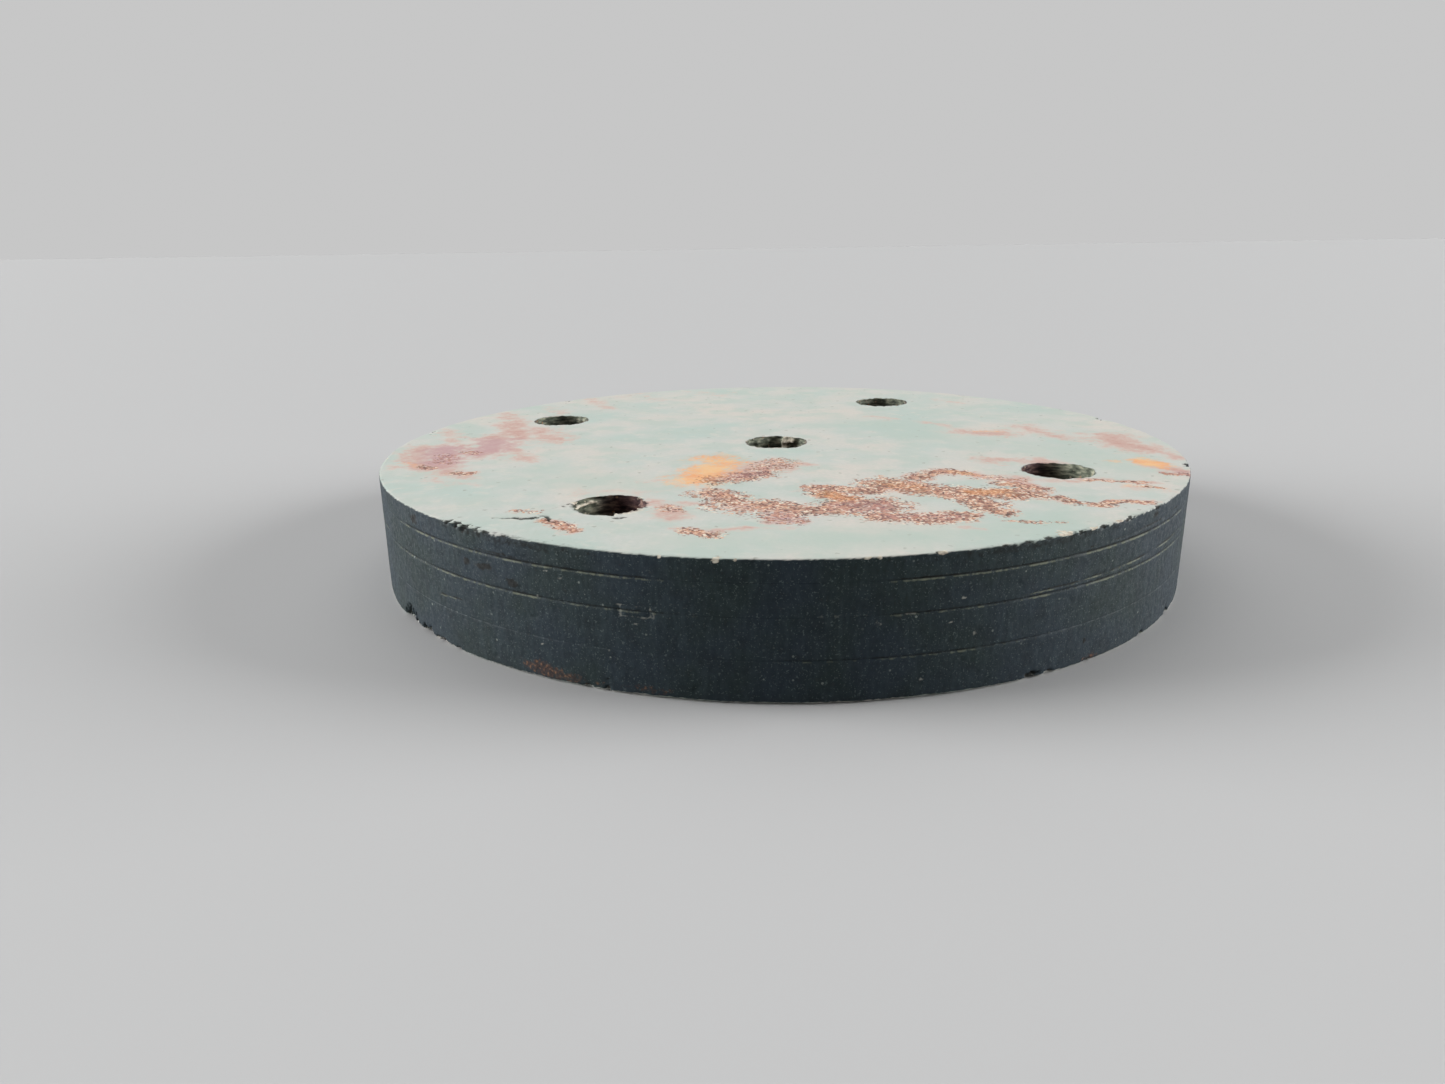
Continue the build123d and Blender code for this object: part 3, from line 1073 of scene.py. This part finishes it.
def stained_colour(n, skin, grain, medium):
    """The skin with its pink wash, orange patches and grainy rust crust."""
    plum = n.attribute("plum")
    wash = n.math("ADD", n.attribute("wash"), n.step(medium, 0.3, 0.7, -0.22, 0.08))
    wash = n.math("ADD", wash, n.step(grain, 0.3, 0.7, -0.16, 0.0))
    pink = n.ramp(wash, (0.10, (210, 197, 187)), (0.45, (206, 180, 169)), (0.85, (196, 154, 143)))
    pink = n.mix(n.math("MULTIPLY", plum, 0.8), pink, (186, 150, 158))
    skin = n.mix(n.math("MULTIPLY", n.attribute("cool"), 0.75), skin, (181, 195, 185))
    colour = n.mix(n.step(wash, 0.0, 0.62, 0, 0.90), skin, pink)
    ochre = n.math("ADD", n.attribute("ochre"), n.step(grain, 0.3, 0.7, -0.25, 0.08))
    orange = n.ramp(n.noise(2.4, 2), (0.40, (234, 166, 114)), (0.60, (236, 190, 138)))
    colour = n.mix(n.step(ochre, 0.05, 0.9, 0, 0.92), colour, orange)
    _, chance, tone = n.grains(0.18)
    crust = n.math("ADD", n.attribute("rust"), n.step(chance, 0, 1, -0.50, 0.04))
    dark = (0.00, (66, 42, 38)), (0.10, (96, 62, 54)), (0.20, (142, 96, 82)), (0.38, (176, 126, 108))
    light = (0.58, (202, 152, 130)), (0.80, (222, 186, 158)), (0.92, (234, 224, 206))
    grainy = n.mix(n.math("MULTIPLY", plum, 0.40), n.ramp(tone, *dark, *light), (168, 124, 132))
    grainy = n.mix(n.step(n.noise(0.7, 2), 0.54, 0.66, 0, 0.35), grainy, (206, 142, 98))
    grainy = n.mix(n.step(ochre, 0.3, 1.0, 0, 0.45), grainy, (214, 148, 90))
    grainy = n.mix(n.step(n.noise(0.9, 2), 0.50, 0.68, 0, 0.55), grainy, (104, 70, 62))
    return n.mix(n.step(crust, 0.06, 0.20, 0, 0.88), colour, grainy)


def wall_colour(n):
    """The holes' torn walls: dark maroon to olive, in thin layers."""
    layers = n.noise(0.24, 3, (0.3, 0.3, 1))
    maroon = n.ramp(layers, (0.34, (44, 30, 34)), (0.52, (84, 60, 60)), (0.66, (132, 104, 94)))
    olive = n.ramp(layers, (0.34, (60, 64, 56)), (0.52, (112, 118, 102)), (0.66, (164, 164, 144)))
    colour = n.mix(n.step(n.attribute("olive"), 0.3, 0.8), maroon, olive)
    distance, chance, tone = n.grains(0.28)
    fibre = n.math("MULTIPLY", n.step(chance, 0.90, 0.94), n.step(distance, 0.50, 0.25, 0, 0.6))
    return n.mix(fibre, colour, n.ramp(tone, (0.2, (176, 120, 84)), (0.6, (206, 192, 170))))


def lining_material(name, has_skin):
    """Moulded friction composite: a dark flecked body, and on the two faces a pale stained skin."""
    n = Nodes(name)
    grain, medium = n.noise(0.34, 3), n.noise(1.3, 3)
    colour = body_colour(n, grain, medium)
    if has_skin:
        skin = stained_colour(n, skin_colour(n, grain, medium), grain, medium)
        colour = n.mix(n.attribute("skin"), colour, skin)
    colour = n.mix(n.attribute("wall"), colour, wall_colour(n))
    # Dark marks on the rim, and painted shade darkening chips, cracks and the bottoms of grooves and
    # scratches.
    dirt_and_shade = n.math("ADD", n.attribute("dirt_and_shade"), n.step(grain, 0.3, 0.7, -0.15, 0.15))
    colour = n.mix(n.step(dirt_and_shade, 0.15, 0.8, 0, 0.85), colour, (26, 25, 22))
    cream = n.ramp(grain, (0.36, (176, 160, 144)), (0.52, (214, 204, 184)), (0.64, (226, 218, 202)))
    pale = n.math("ADD", n.attribute("pale"), n.step(grain, 0.3, 0.7, -0.2, 0.1))
    colour = n.mix(n.step(pale, 0.2, 0.7, 0, 0.9), colour, cream)
    n.put(colour, n.shader.inputs["Base Color"])
    n.put(n.step(grain, 0.3, 0.7, 0.62, 0.88), n.shader.inputs["Roughness"])
    n.shader.inputs["Specular IOR Level"].default_value = 0.22
    bump = n.tree.nodes.new("ShaderNodeBump")
    bump.inputs["Strength"].default_value = 0.5
    bump.inputs["Distance"].default_value = 0.05 * MM
    n.put(grain, bump.inputs["Height"])
    n.put(bump.outputs["Normal"], n.shader.inputs["Normal"])
    return n.material


# Studio

FLOOR_SIDE = 4.0
FLOOR_GAP = 0.00002


def make_floor():
    half = FLOOR_SIDE / 2
    mesh = bpy.data.meshes.new("floor")
    corners = [(-half, -half, 0), (half, -half, 0), (half, half, 0), (-half, half, 0)]
    mesh.from_pydata(corners, [], [(0, 1, 2, 3)])
    n = Nodes("pale_floor")
    n.shader.inputs["Base Color"].default_value = (0.53, 0.53, 0.53, 1)
    n.shader.inputs["Roughness"].default_value = 0.9
    n.shader.inputs["Specular IOR Level"].default_value = 0.2
    mesh.materials.append(n.material)
    floor = bpy.data.objects.new("floor", mesh)
    bpy.context.scene.collection.objects.link(floor)
    floor.location.z = CAD_LOW.z - FLOOR_GAP


def add_sun(name, from_direction, strength, soft_angle):
    """A broad distant light. Its direction is where it comes from."""
    lamp = bpy.data.lights.new(name, "SUN")
    lamp.energy = strength
    lamp.angle = math.radians(soft_angle)
    light = bpy.data.objects.new(name, lamp)
    light.rotation_euler = Vector(from_direction).to_track_quat("Z", "Y").to_euler()
    bpy.context.scene.collection.objects.link(light)


def studio_world():
    """A dim even fill light. Seen directly, it is about as pale as the floor, so no dark horizon shows."""
    world = bpy.data.worlds.new("studio")
    world.use_nodes = True
    nodes, links = world.node_tree.nodes, world.node_tree.links
    fill = nodes["Background"]
    fill.inputs["Color"].default_value = (0.95, 0.98, 1.0, 1)
    fill.inputs["Strength"].default_value = 0.13
    backdrop = nodes.new("ShaderNodeBackground")
    backdrop.inputs["Color"].default_value = (0.57, 0.57, 0.57, 1)
    either = nodes.new("ShaderNodeMixShader")
    links.new(nodes.new("ShaderNodeLightPath").outputs["Is Camera Ray"], either.inputs[0])
    links.new(fill.outputs[0], either.inputs[1])
    links.new(backdrop.outputs[0], either.inputs[2])
    links.new(either.outputs[0], nodes["World Output"].inputs["Surface"])
    return world


def light_studio():
    add_sun("overhead_behind", (-0.15, 0.60, 1.0), 1.00, 70)
    add_sun("left", (-1.0, 0.10, 0.25), 4.6, 36)
    add_sun("right", (1.0, 0.08, 0.25), 4.1, 36)
    bpy.context.scene.world = studio_world()
    bpy.context.scene.view_settings.view_transform = "Standard"


# The camera's place from the middle of the upper face, in disc radii, and its tilt in degrees
CAMERA_RIGHT, CAMERA_BACK, CAMERA_UP = -0.146, 2.606, 0.524
CAMERA_PITCH, CAMERA_ROLL = -17.07, -0.85
LENS, SENSOR = 24.94, 36.0


def make_camera():
    data = bpy.data.cameras.new("camera")
    data.lens, data.sensor_width = LENS, SENSOR
    data.clip_start, data.clip_end = 0.005, 20
    camera = bpy.data.objects.new("camera", data)
    unit = RADIUS * MM
    camera.location = (CAMERA_RIGHT * unit, -CAMERA_BACK * unit, CAD_HIGH.z + CAMERA_UP * unit)
    pitch = Matrix.Rotation(math.radians(90 + CAMERA_PITCH), 4, "X")
    roll = Matrix.Rotation(math.radians(CAMERA_ROLL), 4, "Z")
    camera.rotation_euler = (pitch @ roll).to_euler()
    bpy.context.scene.collection.objects.link(camera)
    bpy.context.scene.camera = camera


make_camera()
make_floor()
light_studio()
face_lining = lining_material("face_ply_composite", True)
core_lining = lining_material("core_ply_composite", False)
for ply_node in PLY_NODES:
    make_ply(ply_node, face_lining if "face" in ply_node else core_lining)
